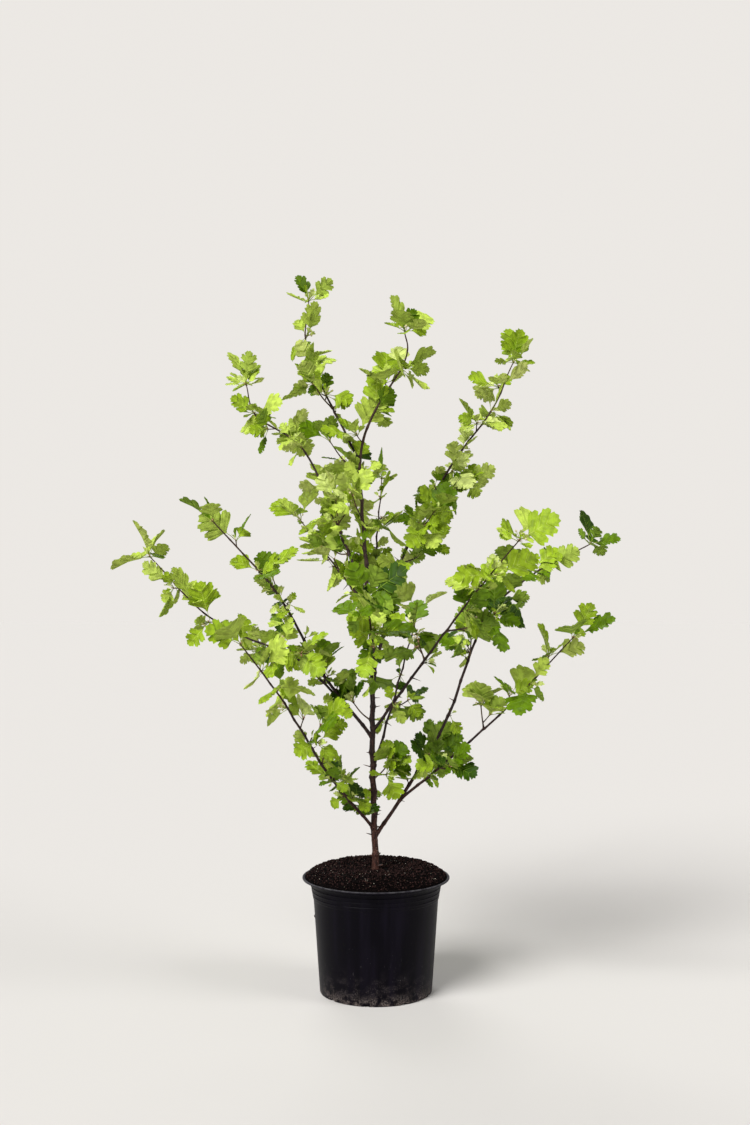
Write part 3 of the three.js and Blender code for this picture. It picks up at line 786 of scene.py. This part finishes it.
# Main leaves grow by the rule of the solids, a little smaller on side sprays. Fillers and a few new leaves
# make each rosette full. The seeds are those of the masses in their order and then of the limbs.
side_leaf_share = 0.8
new_kind, new_lengths, filler_lengths = 3, (14, 24), (23, 43)
new_leans, filler_leans = (4, 34), (30, 95)
leaf_widths, leaf_pleats, leaf_folds = (0.92, 1.15), (0.8, 1.6), (0, 0.36)
leaf_curls, leaf_twists, new_fold = (-0.25, 0.6), (-0.3, 0.3), 0.35
mass_tones, filler_counts, new_counts = (0.7, 3.6), (1, 7.499), (1, 4.999)
stem_step, stem_radius, stem_collar = 4, 1.25, 8
trunk_bare, bough_bare, limb_spur_lean, limb_spur_lift, limb_spur_lengths = 0.3, 0.14, 62, 0.3, (3, 7)
limb_tones, limb_filler_counts, limb_new_counts, limb_leaf_size = (1, 3.4), (1, 4.5), (1, 3.9), 0.85
fill_seeds = [3038, 6146, 3600, 4332, 9271, 19, 3559, 5186, 8554, 867, 3245, 2642, 89, 4823, 2171,
              4641, 2427, 894, 3503, 8394, 9512, 7895, 3991, 8494, 8068, 8598, 6504, 1109, 9314, 4433,
              5920, 869, 1158, 729, 8304, 6834, 7012, 5115, 4804, 881, 1474, 6525, 1585, 1317, 9051,
              4563, 5402, 9703, 5066, 4377, 5463, 9622, 4562, 7296, 1227, 9324, 5480, 483]
leaves, stem_ways, spur_ways, rosettes = [], [], [], []


def shaped(draw, leaf):
    """The leaf with its own outline, width, fold, curl and twist."""
    new = leaf["length"] < new_lengths[1]
    leaf["kind"] = new_kind if new else int(draw(0, 2.999))
    leaf["wide"] = draw(*leaf_widths)
    leaf["pleat"] = draw(*leaf_pleats)
    leaf["fold"] = draw(*leaf_folds) + (new_fold if new else 0)
    leaf["curl"] = draw(*leaf_curls)
    leaf["twist"] = draw(*leaf_twists)
    return leaf


def fill_rosette(draw, spur, tone, fillers, news, size=1.0):
    """Adds the fillers and new leaves of one rosette. A low tone is pale and a high one deep green."""
    start = draw(0, 360)
    for i in range(fillers + news):
        new = i >= fillers
        lean = draw(*(new_leans if new else filler_leans))
        heading = lean_from(spur["heading"], lean, start + i * golden_turn + draw(-20, 20))
        facing = up * 0.5 + spur["heading"] * (-0.5 if new else 0.25)
        facing += Vector((draw(-0.7, 0.7), draw(-1.1, 0.6), 0))
        leaf = {"root": spur["end"] - spur["along"] * draw(0, 3), "heading": heading,
                "facing": squared(facing, heading),
                "length": size * draw(*(new_lengths if new else filler_lengths)),
                "tone": 0.4 if new and draw() < 0.6 else tone + draw(-1, 1)}
        kept = turned_clear(leaf, spur["heading"], None)
        if kept:
            leaves.append(shaped(draw, kept))


def fill_mass(mass, draw):
    """Adds the stem, spurs and leaves of one mass. The stem of a tip mass is the limb itself."""
    stem = mass["stem"]
    mass_tone = draw(*mass_tones)
    fillers, news = int(draw(*filler_counts)), int(draw(*new_counts))
    if mass["limb"]:
        count = max(6, int(stem.length / stem_step))
        radii = []
        for i in range(count + 1):
            collar = 1 + 0.7 * max(0, 1 - i * stem_step / stem_collar)
            radii.append(stem_radius * collar * (1 - 0.3 * i / count) * draw(0.95, 1.08))
        stem_ways.append((stem.spaced(count), radii))
    for spur in grow_mass(mass):
        if not spur["seated"]:
            if not clear_of_limbs([spur["end"]]):
                continue
            middle = spur["from"].lerp(spur["end"], 0.5) + Vector((draw(-0.6, 0.6), draw(-0.6, 0.6), 0))
            spur_ways.append(([spur["from"], middle, spur["end"] - spur["heading"] * 2, spur["end"],
                               spur["end"] + spur["heading"] * 1.6], [1.15, 0.85, 0.95, 1.45, 0.5]))
        else:
            spur_ways.append(([spur["end"] - spur["along"] * 3, spur["end"] - spur["along"], spur["end"],
                               spur["end"] + spur["along"] * 1.8], [0.9, 1.3, 1.4, 0.45]))
        tone = mass_tone + draw(-0.8, 0.8)
        for leaf in spur["leaves"]:
            kept = turned_clear(leaf, spur["heading"], mass)
            if kept:
                kept["length"] *= side_leaf_share if mass["limb"] else 1
                kept["tone"] = tone + draw(-1.1, 1.1)
                leaves.append(shaped(draw, kept))
        fill_rosette(draw, spur, tone, fillers, news)
        rosettes.append(spur)


def fill_limb(limb, draw):
    """Adds the short spurs with a few small leaves that stand along the wood of one limb."""
    route = limb["route"]
    turn = draw(0, 360)
    share_kept = draw(0.5, 1)
    lowest = trunk_bare if limb["name"] == "trunk" else bough_bare
    for knot in limb["knots"]:
        share = knot / route.length
        turn += spur_turn + draw(-20, 20)
        if not lowest < share < limb["wood"] or draw() > share_kept:
            continue
        start = route.at(share)
        heading = (lean_from(route.along(share), limb_spur_lean, turn) + up * limb_spur_lift).normalized()
        base = start + heading * limb_radius(limb, share) * 0.6
        end = start + heading * (limb_radius(limb, share) + draw(*limb_spur_lengths))
        spur = {"from": base, "end": end, "heading": heading, "along": heading}
        spur_ways.append(([base, base.lerp(end, 0.5), end, end + heading * 1.6], [1.2, 0.9, 1.3, 0.5]))
        fill_rosette(draw, spur, draw(*limb_tones), int(draw(*limb_filler_counts)),
                     int(draw(*limb_new_counts)), limb_leaf_size)


for mass, seed in zip(masses, fill_seeds):
    fill_mass(mass, draws_from(seed))
for limb, seed in zip(limbs, fill_seeds[len(masses):]):
    fill_limb(limb, draws_from(seed))


# Twigs
# The stems of the sprays and the short ringed spurs on them are this year's and last year's wood, smoother
# and browner than the boughs. Hawthorn thorns stand stiff beside some of the spurs, and stubs at the foot.
thorn_seed, thorn_share, thorn_from, thorn_lengths, thorn_leans = 23, 0.42, 0.1, (7, 15), (66, 84)
thorn_ways = []

# Each thorn or stub of the trunk: height, turn round it, length and thickness
trunk_thorns = [(189, -24, 9, 2.6), (204, 172, 4.5, 2.4), (207, 6, 4.5, 2.2), (236, 176, 9, 1.4),
                (248, 10, 4, 1.8), (272, -8, 8, 1.3), (266, 30, 7, 1.2), (305, 190, 5, 1.7),
                (340, 168, 12, 1.2), (361, 186, 6, 1.4), (392, 8, 5, 1.5), (432, -14, 10, 1.2),
                (512, 200, 9, 1.2), (590, 20, 13, 1)]


def thorn(start, heading, radius, length, thick=1.0):
    base = start + heading * radius * 0.5
    tip = start + heading * (radius + length)
    outside = start + heading * (radius + length * 0.3)
    thorn_ways.append(([base, base + heading * 1.2, outside, outside.lerp(tip, 0.6), tip],
                       [1.25 * thick, 0.95 * thick, 0.65 * thick, 0.4 * thick, 0.06]))


trunk = by_name["trunk"]
for at, turn, length, thick in trunk_thorns:
    share = next(s for s in np.linspace(0, 1, 800) if trunk["route"].at(s).z >= at)
    heading = Vector((math.cos(math.radians(turn)), math.sin(math.radians(turn)), 0.25)).normalized()
    thorn(trunk["route"].at(share), heading, limb_radius(trunk, share), length, thick)
for limb in limbs[1:]:
    draw = draws_from(limb["seed"] + thorn_seed)
    for knot in limb["knots"]:
        share = knot / limb["route"].length
        heading = lean_from(limb["route"].along(share), draw(*thorn_leans), draw(0, 360))
        length = draw(*thorn_lengths)
        if thorn_from < share < limb["wood"] and draw() < thorn_share:
            thorn(limb["route"].at(share), heading, limb_radius(limb, share), length)

young_bark = Finish("young_bark", paint(84, 60, 44), 0.58, Specular_IOR_Level=0.25)
lenticels = young_bark.noise(620, detail=2.0).step(0.6, 0.7)
shade = young_bark.noise(46).step(0.35, 0.65)
stem_tone = young_bark.mix(shade, paint(46, 31, 27), paint(92, 72, 44))
young_bark.set("Base Color", young_bark.mix(lenticels * 0.35, stem_tone, paint(140, 120, 92)))
young_bark.set("Roughness", 0.5 + 0.2 * lenticels)
young_bark.bump(young_bark.noise(900), 0.0003, 0.6)
thorn_wood = Finish("thorn_wood", paint(70, 44, 38), 0.5, Specular_IOR_Level=0.25)
blend = thorn_wood.noise(150)
thorn_wood.set("Base Color", thorn_wood.mix(blend.step(0.35, 0.65), paint(44, 26, 24), paint(96, 62, 48)))
thorn_wood.bump(blend, 0.0003, 0.3)
mount(rods("twigs_spray_stems", stem_ways, 8), "bark", mass_nodes, young_bark)
mount(rods("twigs_spurs", spur_ways, 6), "bark", mass_nodes, young_bark)
mount(rods("thorns", thorn_ways, 8), "bark", [limb["name"] for limb in limbs], thorn_wood)


# Buds
# Many rosettes still carry the pinkish scales of the bud that they opened from, and the first round flower
# buds in a small bunch on thin stalks. They are a few millimetres across.
bud_seed, scale_size, bunch_share = 61, (1.5, 0.5, 2.6), 0.3
bpy.ops.object.select_all(action='DESELECT')
bpy.ops.mesh.primitive_uv_sphere_add(segments=6, ring_count=4, radius=1)
bud_corners, bud_faces = solid_arrays(bpy.context.object)
scale_parts, bud_parts, bud_ways = [], [], []
draw = draws_from(bud_seed)
for spur in rosettes:
    middle = spur["end"] + spur["heading"] * 2
    for i in range(int(draw(1, 4))):
        heading = lean_from(spur["heading"], draw(30, 80), i * golden_turn + draw(0, 60))
        level, other = square_to(heading)
        scale = (bud_corners * scale_size) @ np.array([level, other, heading])
        scale_parts.append((scale + np.array(spur["end"] + heading * 2.6), bud_faces))
    if draw() > bunch_share:
        continue
    for i in range(int(draw(4, 9))):
        heading = lean_from(spur["heading"], draw(8, 70), i * golden_turn + draw(-20, 20))
        tip = middle + heading * draw(6, 13)
        bud_ways.append(([middle, middle.lerp(tip, 0.5) + up * 0.5, tip], [0.35, 0.3, 0.35]))
        bud_parts.append((bud_corners * draw(1.3, 1.9) + np.array(tip), bud_faces))


def bud_finish(name, dark, light):
    made = Finish(name, dark, 0.5, Specular_IOR_Level=0.3)
    blend = made.noise(420)
    made.set("Base Color", made.mix(blend.step(0.35, 0.65), dark, light))
    made.bump(blend, 0.0002, 0.4)
    return made


mount(joined("bud_scales", scale_parts), "foliage", mass_nodes,
      bud_finish("bud_scale", paint(150, 96, 70), paint(214, 172, 140)))
mount(joined("flower_buds", bud_parts), "foliage", mass_nodes,
      bud_finish("flower_bud", paint(186, 184, 110), paint(226, 206, 176)))
mount(rods("flower_bud_stalks", bud_ways, 4), "foliage", mass_nodes,
      bud_finish("flower_bud_stalk", paint(120, 138, 52), paint(156, 168, 76)))


# Leaves
# Each leaf is a thin blade on a slender stalk: a wedge foot, three to five rounded lobes with blunt teeth,
# pleated along its veins and a little folded. New leaves are lime yellow, and older ones deeper green. The
# palest tones also carry painted highlight and painted glow of light through the leaves, and the deepest
# some painted shade.
stalk_share, stalk_radius, new_stalk_radius = 0.28, 0.46, 0.3
blade_share, blade_thickness, foot_slope, tip_slope, leaf_crease = 0.74, 0.018, 16, 9, 75
bay_lift, vein_step, vein_slant, vein_reach = 0.38, 0.012, 0.8, 0.93
vein_rise, vein_fall, box_margin = 0.005, 0.021, 0.5
midrib_widths, side_vein_widths = (0.015, 0.013, 0.01, 0.004), (0.009, 0.0035)

# Half outlines from foot to tip: how far out each place of the rim is and how far along, as shares of the
# blade's length
broad_rim = [(0.015, 0), (0.09, 0.07), (0.22, 0.12), (0.37, 0.17), (0.48, 0.24), (0.54, 0.33), (0.48, 0.38),
             (0.52, 0.46), (0.43, 0.53), (0.3, 0.49), (0.37, 0.6), (0.46, 0.67), (0.39, 0.72), (0.42, 0.81),
             (0.33, 0.87), (0.21, 0.81), (0.25, 0.93), (0.16, 0.95), (0.1, 1.03), (0.015, 1.0)]
fan_rim = [(0.015, 0), (0.06, 0.1), (0.14, 0.2), (0.25, 0.28), (0.38, 0.33), (0.49, 0.41), (0.54, 0.51),
           (0.48, 0.55), (0.5, 0.64), (0.34, 0.62), (0.43, 0.73), (0.4, 0.79), (0.42, 0.87), (0.33, 0.91),
           (0.2, 0.84), (0.23, 0.95), (0.14, 0.96), (0.09, 1.03), (0.015, 1.0)]
long_rim = [(0.015, 0), (0.05, 0.1), (0.11, 0.2), (0.2, 0.27), (0.32, 0.32), (0.41, 0.4), (0.36, 0.45),
            (0.38, 0.53), (0.28, 0.57), (0.19, 0.52), (0.28, 0.63), (0.38, 0.7), (0.32, 0.75), (0.34, 0.84),
            (0.25, 0.87), (0.15, 0.8), (0.19, 0.92), (0.12, 0.96), (0.07, 1.02), (0.015, 1.0)]
new_rim = [(0.03, 0), (0.1, 0.16), (0.22, 0.32), (0.34, 0.45), (0.35, 0.58), (0.22, 0.57), (0.31, 0.73),
           (0.25, 0.85), (0.13, 0.8), (0.11, 0.96), (0.02, 1)]


def rows_of(rim):
    """Each row: rim to the side, rim along, midrib along, and the lift of the rim, up in the bays."""
    rows, midrib = [], 0
    for i, (side, along) in enumerate(rim):
        before, after = rim[max(0, i - 1)], rim[min(len(rim) - 1, i + 1)]
        lift = bay_lift * ((math.hypot(*before) + math.hypot(*after)) / 2 - math.hypot(side, along))
        midrib = max(midrib + vein_step, along - vein_slant * side) if i else 0
        rows.append((side, along, midrib, lift if 0 < i < len(rim) - 1 else 0))
    return rows


def leaf_blank(rows):
    """A flat leaf one long: its corners, its faces, and which faces are the underside."""
    bpy.ops.object.select_all(action='DESELECT')
    bpy.ops.mesh.primitive_grid_add(x_subdivisions=2, y_subdivisions=len(rows) - 1, size=1)
    blank = bpy.context.object
    tip = rows[-1][2]
    bpy.ops.object.mode_set(mode='EDIT')
    bpy.ops.mesh.select_all(action='SELECT')
    bpy.ops.mesh.duplicate()
    bpy.ops.mesh.flip_normals()
    bpy.ops.transform.translate(value=(0, 0, -blade_thickness))
    bpy.ops.object.mode_set(mode='OBJECT')
    for corner in blank.data.vertices:
        row = rows[round((corner.co.y + 0.5) * (len(rows) - 1))]
        hand = round(corner.co.x * 2)
        rim_side, rim_along, midrib_along, lift = row
        under = corner.co.z < -blade_thickness / 2
        if hand:
            corner.co = (rim_side * hand, rim_along, lift)
        else:
            depth = blade_thickness * min(1, foot_slope * midrib_along, tip_slope * (tip - midrib_along))
            corner.co = (0, midrib_along, -depth if under else 0)
    bpy.ops.object.mode_set(mode='EDIT')
    bpy.ops.mesh.select_all(action='SELECT')
    bpy.ops.mesh.remove_doubles(threshold=0.0005)
    bpy.ops.object.mode_set(mode='OBJECT')
    corners = np.array([corner.co for corner in blank.data.vertices])
    faces = np.array([face.vertices for face in blank.data.polygons])
    under = np.array([face.normal.z < 0 for face in blank.data.polygons])
    bpy.data.objects.remove(blank)
    return corners, faces, under


def vein_blank(rows, veins):
    """The raised veins of a leaf one long, as slim diamond rods that show on both of its faces."""
    corners, faces = [], []

    def rod(path, widths):
        for i, ((x, y, z), width) in enumerate(zip(path, widths)):
            before, after = path[max(0, i - 1)], path[min(len(path) - 1, i + 1)]
            along = Vector((after[0] - before[0], after[1] - before[1], 0)).normalized()
            aside = Vector((along.y, -along.x, 0)) * width
            corners.extend([(x + aside.x, y + aside.y, z), (x, y, z + vein_rise),
                            (x - aside.x, y - aside.y, z), (x, y, z - vein_fall)])
            if i:
                first = len(corners) - 8
                for side in range(4):
                    other = (side + 1) % 4
                    faces.append((first + side, first + 4 + side, first + 4 + other, first + other))

    last = len(rows) - 1
    rod([(0, rows[i][2], 0) for i in (0, 7, 12, last)], midrib_widths)
    for hand in (-1, 1):
        for number in veins:
            side, along, midrib, lift = rows[number]
            tip = (hand * side * vein_reach, midrib + (along - midrib) * vein_reach, lift * vein_reach)
            rod([(0, midrib, 0), tip], side_vein_widths)
    return np.array(corners), np.array(faces)


# The full leaves, each with the rows that its side veins run to, two in each side lobe
full_rims = [(broad_rim, (5, 8, 11, 14)), (fan_rim, (6, 8, 10, 13)), (long_rim, (5, 8, 11, 14))]
blanks = [leaf_blank(rows_of(rim)) for rim in (broad_rim, fan_rim, long_rim, new_rim)]
blank_veins = [vein_blank(rows_of(rim), veins) for rim, veins in full_rims]


def set_leaf(corners, leaf):
    """Folds, arches and twists a flat leaf and sets it on its stalk."""
    x, y, z = corners.T
    x = x * leaf["wide"]
    z = z * leaf["pleat"] + np.abs(x) * math.sin(leaf["fold"])
    x = x * math.cos(leaf["fold"])
    turn = leaf["curl"] * y
    y = np.sin(turn) / leaf["curl"] + z * np.sin(turn)
    z = (np.cos(turn) - 1) / leaf["curl"] + z * np.cos(turn)
    twist = leaf["twist"] * y
    x, z = x * np.cos(twist) - z * np.sin(twist), x * np.sin(twist) + z * np.cos(twist)
    heading, facing = leaf["heading"], leaf["facing"]
    side = heading.cross(facing)
    size = leaf["length"] * blade_share
    base = leaf["root"] + heading * (leaf["length"] * stalk_share)
    return np.array(base) + size * (np.outer(x, side) + np.outer(y, heading) + np.outer(z, facing))


cad_low, cad_high = np.array(cad_box) / mm
# Each tone of leaf: its name, the colour of its top and the colour of its underside. The lime and bright
# tones are paler and whiter than new growth alone, as painted highlight and painted glow of light through
# the leaves, and the deep tone is darkened in part as painted shade.
tones = [("lime", paint(214, 228, 132), paint(200, 212, 116)),
         ("bright", paint(186, 208, 82), paint(184, 202, 94)),
         ("fresh", paint(148, 176, 34), paint(166, 188, 76)),
         ("mid", paint(96, 128, 5), paint(144, 172, 58)),
         ("deep", paint(50, 80, 1), paint(120, 150, 44))]
green_from = 3
tone_parts, under_parts = [[] for _ in tones], [[] for _ in tones]
pale_veins, green_veins, stalk_ways = [], [], []
for leaf in leaves:
    corners, faces, under = blanks[leaf["kind"]]
    placed = set_leaf(corners, leaf)
    while (placed < cad_low + box_margin).any() or (placed > cad_high - box_margin).any():
        leaf["length"] *= 0.9
        placed = set_leaf(corners, leaf)
    tone = max(0, min(len(tones) - 1, round(leaf["tone"])))
    tone_parts[tone].append((placed, faces))
    under_parts[tone].append(under)
    thick = new_stalk_radius
    if leaf["kind"] != new_kind:
        thick = stalk_radius
        vein_corners, vein_faces = blank_veins[leaf["kind"]]
        veins = pale_veins if tone < green_from else green_veins
        veins.append((set_leaf(vein_corners, leaf), vein_faces))
    root, heading, length = leaf["root"], leaf["heading"], leaf["length"]
    middle = root + heading * (length * 0.15) + up * (length * 0.012)
    stalk_ways.append(([root, middle, root + heading * (length * (stalk_share + 0.03))],
                       [thick * 1.3, thick, thick * 0.8]))


def leaf_finish(name, colour, under=False):
    made = Finish(name, colour, 0.5, Specular_IOR_Level=0.16)
    blend = made.noise(110)
    darker = tuple(c * 0.76 for c in colour[:3]) + (1,)
    lighter = tuple(min(1, c * 1.16) for c in colour[:3]) + (1,)
    made.set("Base Color", made.mix(blend.step(0.36, 0.64), darker, lighter))
    made.set("Roughness", (0.58 if under else 0.46) + 0.12 * blend)
    made.bump(made.noise(300, detail=2.0), 0.0003, 0.25)
    return made


for (name, top, underside), parts, unders in zip(tones, tone_parts, under_parts):
    leaf_piece = joined(f"leaves_{name}", parts)
    mount(leaf_piece, "foliage", mass_nodes, leaf_finish(f"{name}_leaf", top),
          leaf_finish(f"{name}_underside", underside, under=True))
    leaf_piece.data.polygons.foreach_set("material_index", np.concatenate(unders).astype(np.int32))
    select_only(leaf_piece)
    bpy.ops.object.shade_smooth_by_angle(angle=math.radians(leaf_crease))
mount(joined("leaf_veins_pale", pale_veins), "foliage", mass_nodes,
      leaf_finish("pale_vein", paint(188, 206, 92)))
mount(joined("leaf_veins_green", green_veins), "foliage", mass_nodes,
      leaf_finish("green_vein", paint(122, 150, 46)))
mount(rods("leaf_stalks", stalk_ways, 4), "foliage", mass_nodes,
      leaf_finish("leaf_stalk", paint(150, 168, 66)))


# Studio
# A pale floor and a plain pale backdrop all round, dim even light from every side, and soft lamps to the
# left, the right and behind. The camera stands level at the height of the middle of the crown.
floor_radius, backdrop_radius = 14, 30
floor_tone, backdrop_tone = (0.681, 0.6585, 0.631, 1), (0.838, 0.81, 0.776, 1)
surround_tone = (0.16, 0.16, 0.16, 1)
bpy.ops.object.select_all(action='DESELECT')
bpy.ops.mesh.primitive_circle_add(vertices=96, radius=floor_radius, fill_type='NGON')
floor = bpy.context.object
floor.name = "studio_floor"
floor_paint = Finish("pale_floor", floor_tone, 0.95, Specular_IOR_Level=0)
floor.data.materials.append(floor_paint.material)
bpy.ops.object.select_all(action='DESELECT')
bpy.ops.mesh.primitive_uv_sphere_add(segments=64, ring_count=32, radius=backdrop_radius)
backdrop = bpy.context.object
backdrop.name = "studio_backdrop"
backdrop_paint = Finish("pale_backdrop", (0, 0, 0, 1), 1, Specular_IOR_Level=0,
                        Emission_Color=backdrop_tone, Emission_Strength=1)
backdrop.data.materials.append(backdrop_paint.material)
for kind in ("diffuse", "glossy", "transmission", "volume_scatter", "shadow"):
    setattr(backdrop, "visible_" + kind, False)
world = bpy.data.worlds.new("soft_surround")
bpy.context.scene.world = world
world.use_nodes = True
world.node_tree.nodes["Background"].inputs["Color"].default_value = surround_tone


def soft_lamp(name, place, power, spread):
    """A lamp that shines from a place towards the foot of the pot, spread in degrees."""
    lamp = bpy.data.lights.new(name, 'SUN')
    lamp.energy = power
    lamp.angle = math.radians(spread)
    holder = bpy.data.objects.new(name, lamp)
    holder.location = place
    holder.rotation_euler = Vector(place).to_track_quat('Z', 'Y').to_euler()
    bpy.context.scene.collection.objects.link(holder)


soft_lamp("left_lamp", (-1.5, -1.9, 2.3), 3.4, 32)
soft_lamp("right_lamp", (2.3, -0.9, 1.4), 1.0, 30)
soft_lamp("back_lamp", (-0.6, 2.2, 2.0), 0.8, 30)

camera = bpy.data.cameras.new("camera")
camera.lens = 45.57
camera.sensor_width = 36
viewpoint = bpy.data.objects.new("camera", camera)
viewpoint.location = (-0.0015, -2.18, 0.6545)
viewpoint.rotation_euler = (math.pi / 2, 0, 0)
bpy.context.scene.collection.objects.link(viewpoint)
bpy.context.scene.camera = viewpoint
bpy.context.scene.view_settings.view_transform = 'Standard'
